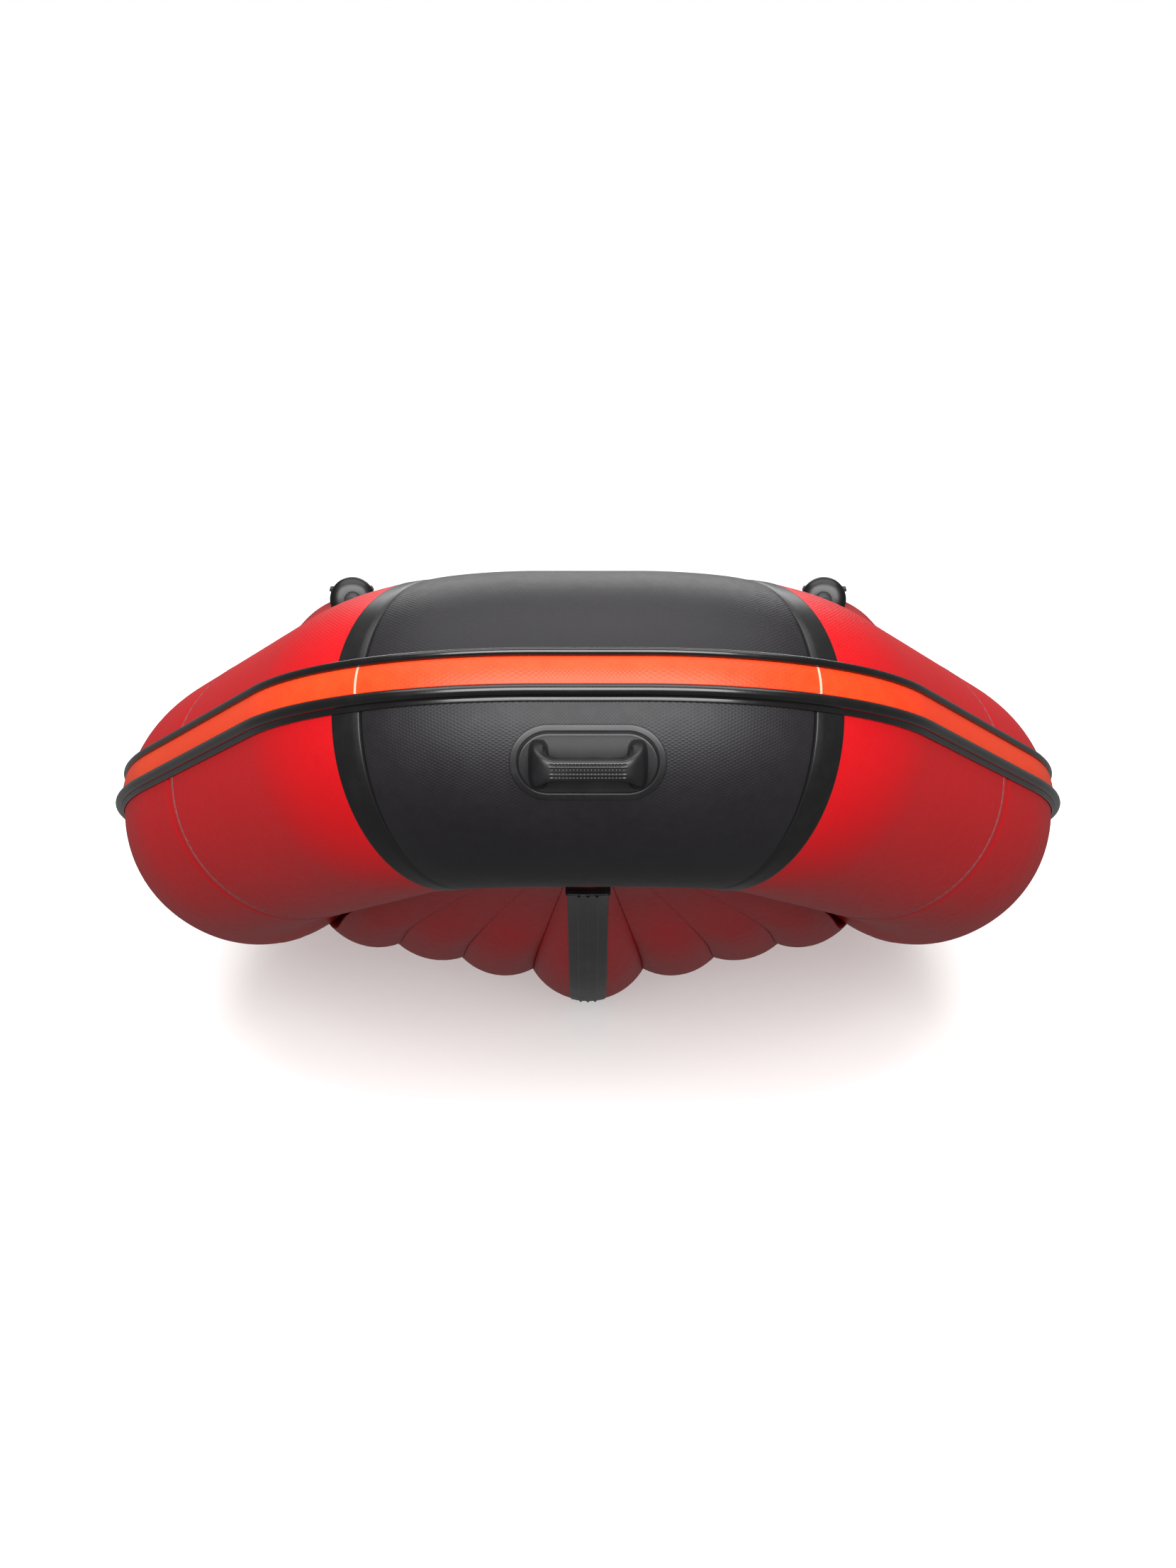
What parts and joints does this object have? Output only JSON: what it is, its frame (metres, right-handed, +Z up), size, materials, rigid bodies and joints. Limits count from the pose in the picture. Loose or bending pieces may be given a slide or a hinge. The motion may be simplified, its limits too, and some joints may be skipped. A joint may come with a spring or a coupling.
{
  "type": "inflatable dinghy",
  "caption": "Inflatable motor and rowing dinghy with an air floor, plywood transom, sliding seats, swivelling rowlocks and stowed oars.",
  "frame": {"origin": "on the ground under the middle of the boat's box, with the keel guard at Z = 0", "axes": "+X to port, +Y aft (the bow is at -Y), +Z up"},
  "size_m": [1.6212, 3.3, 0.9225],
  "materials": {
    "charcoal_pvc": "matt coated fabric",
    "black_pvc": "smooth coated fabric",
    "red_pvc": "semi-matt coated fabric",
    "baffle_fabric": "coated fabric",
    "orange_strip": "satin",
    "black_rubber": "satin",
    "marine_plywood": "varnished",
    "black_nylon": "moulded",
    "stainless_steel": "polished",
    "anodised_aluminium": "anodised",
    "black_polypropylene": "moulded, glossy",
    "grip_rubber": "matt"
  },
  "bodies": {
    "hull": {"bow_handle_base": "black_rubber", "bow_handle_grip": "black_rubber", "bow_seam_tapes": "black_pvc", "bow_tube": "charcoal_pvc", "drain_body": "black_nylon", "keel_cell": "red_pvc", "keel_guard": "black_rubber", "port_inner_cell": "red_pvc", "port_middle_cell": "red_pvc", "port_outer_cell": "red_pvc", "port_shoulder_tube": "red_pvc", "port_side_tube": "red_pvc", "port_stern_cone": "red_pvc", "rowlock_bases": "black_rubber", "rowlock_pins": "stainless_steel", "rub_rail": "black_rubber", "rub_rail_insert": "orange_strip", "seat_tracks": "black_rubber", "starboard_inner_cell": "red_pvc", "starboard_middle_cell": "red_pvc", "starboard_outer_cell": "red_pvc", "starboard_shoulder_tube": "red_pvc", "starboard_side_tube": "red_pvc", "starboard_stern_cone": "red_pvc", "stern_cone_caps": "black_rubber", "tow_eyes": "stainless_steel", "transom_board": "marine_plywood", "transom_bolts": "stainless_steel", "transom_holders": "black_rubber", "transom_inner_pad": "black_nylon", "transom_nuts": "stainless_steel", "transom_outer_pad": "black_nylon", "tube_baffles": "baffle_fabric", "valve_bodies": "black_nylon"},
    "port_rowlock": {"port_rowlock_yoke": "black_nylon"},
    "port_oar": {"port_oar_sleeve": "black_nylon", "port_oar_shaft": "anodised_aluminium", "port_oar_grip": "grip_rubber", "port_oar_collar": "black_polypropylene", "port_oar_blade": "black_polypropylene"},
    "starboard_rowlock": {"starboard_rowlock_yoke": "black_nylon"},
    "starboard_oar": {"starboard_oar_sleeve": "black_nylon", "starboard_oar_shaft": "anodised_aluminium", "starboard_oar_grip": "grip_rubber", "starboard_oar_collar": "black_polypropylene", "starboard_oar_blade": "black_polypropylene"},
    "front_thwart": {"front_seat": "marine_plywood", "front_seat_clamps": "black_nylon"},
    "rear_thwart": {"rear_seat": "marine_plywood", "rear_seat_clamps": "black_nylon"},
    "port_cap": {"port_valve_cap": "black_nylon"},
    "port_plunger": {"port_valve_plunger": "black_nylon"},
    "starboard_cap": {"starboard_valve_cap": "black_nylon"},
    "starboard_plunger": {"starboard_valve_plunger": "black_nylon"},
    "bow_cap": {"bow_valve_cap": "black_nylon"},
    "bow_plunger": {"bow_valve_plunger": "black_nylon"},
    "floor_cap": {"floor_valve_cap": "black_nylon"},
    "floor_plunger": {"floor_valve_plunger": "black_nylon"},
    "drain_flap_body": {"drain_flap": "black_nylon"}
  },
  "joints": [
    {"name": "port_rowlock_swivel", "type": "hinge", "parent": "hull", "child": "port_rowlock", "pos_m": [0.52, 0.4, 0.6], "axis": [0, 0, -1], "range_deg": [0, 93]},
    {"name": "port_oar_tilt", "type": "hinge", "parent": "port_rowlock", "child": "port_oar", "pos_m": [0.52, 0.4, 0.64], "axis": [0.993, -0.1184, 0], "range_deg": [0, 15]},
    {"name": "starboard_rowlock_swivel", "type": "hinge", "parent": "hull", "child": "starboard_rowlock", "pos_m": [-0.52, 0.4, 0.6], "axis": [0, 0, 1], "range_deg": [0, 93]},
    {"name": "starboard_oar_tilt", "type": "hinge", "parent": "starboard_rowlock", "child": "starboard_oar", "pos_m": [-0.52, 0.4, 0.64], "axis": [0.993, 0.1184, 0], "range_deg": [0, 15]},
    {"name": "front_seat_slide", "type": "slide", "parent": "hull", "child": "front_thwart", "axis": [0, 1, 0], "range_m": [-0.15, 0.15]},
    {"name": "rear_seat_slide", "type": "slide", "parent": "hull", "child": "rear_thwart", "axis": [0, 1, 0], "range_m": [-0.15, 0.15]},
    {"name": "port_valve_cap_turn", "type": "hinge", "parent": "hull", "child": "port_cap", "pos_m": [0.585, 0.96, 0.33], "axis": [-0.6428, 0, 0.766], "range_deg": [0, 90]},
    {"name": "port_valve_press", "type": "slide", "parent": "hull", "child": "port_plunger", "axis": [0.6428, 0, -0.766], "range_m": [0, 0.005], "stiffness_N_per_m": 300, "springref_m": -0.004},
    {"name": "starboard_valve_cap_turn", "type": "hinge", "parent": "hull", "child": "starboard_cap", "pos_m": [-0.585, 0.96, 0.33], "axis": [0.6428, 0, 0.766], "range_deg": [0, 90]},
    {"name": "starboard_valve_press", "type": "slide", "parent": "hull", "child": "starboard_plunger", "axis": [-0.6428, 0, -0.766], "range_m": [0, 0.005], "stiffness_N_per_m": 300, "springref_m": -0.004},
    {"name": "bow_valve_cap_turn", "type": "hinge", "parent": "hull", "child": "bow_cap", "pos_m": [0, -1.394, 0.71248], "axis": [0, 0.788, 0.6157], "range_deg": [0, 90]},
    {"name": "bow_valve_press", "type": "slide", "parent": "hull", "child": "bow_plunger", "axis": [0, -0.788, -0.6157], "range_m": [0, 0.005], "stiffness_N_per_m": 300, "springref_m": -0.004},
    {"name": "floor_valve_cap_turn", "type": "hinge", "parent": "hull", "child": "floor_cap", "pos_m": [0.3125, 1.04, 0.19797], "axis": [0, 0, 1], "range_deg": [0, 90]},
    {"name": "floor_valve_press", "type": "slide", "parent": "hull", "child": "floor_plunger", "axis": [0, 0, -1], "range_m": [0, 0.005], "stiffness_N_per_m": 300, "springref_m": -0.004},
    {"name": "drain_flap_swing", "type": "hinge", "parent": "hull", "child": "drain_flap_body", "pos_m": [-0.18, 1.1912, 0.27697], "axis": [1, 0, 0], "range_deg": [0, 80]}
  ]
}
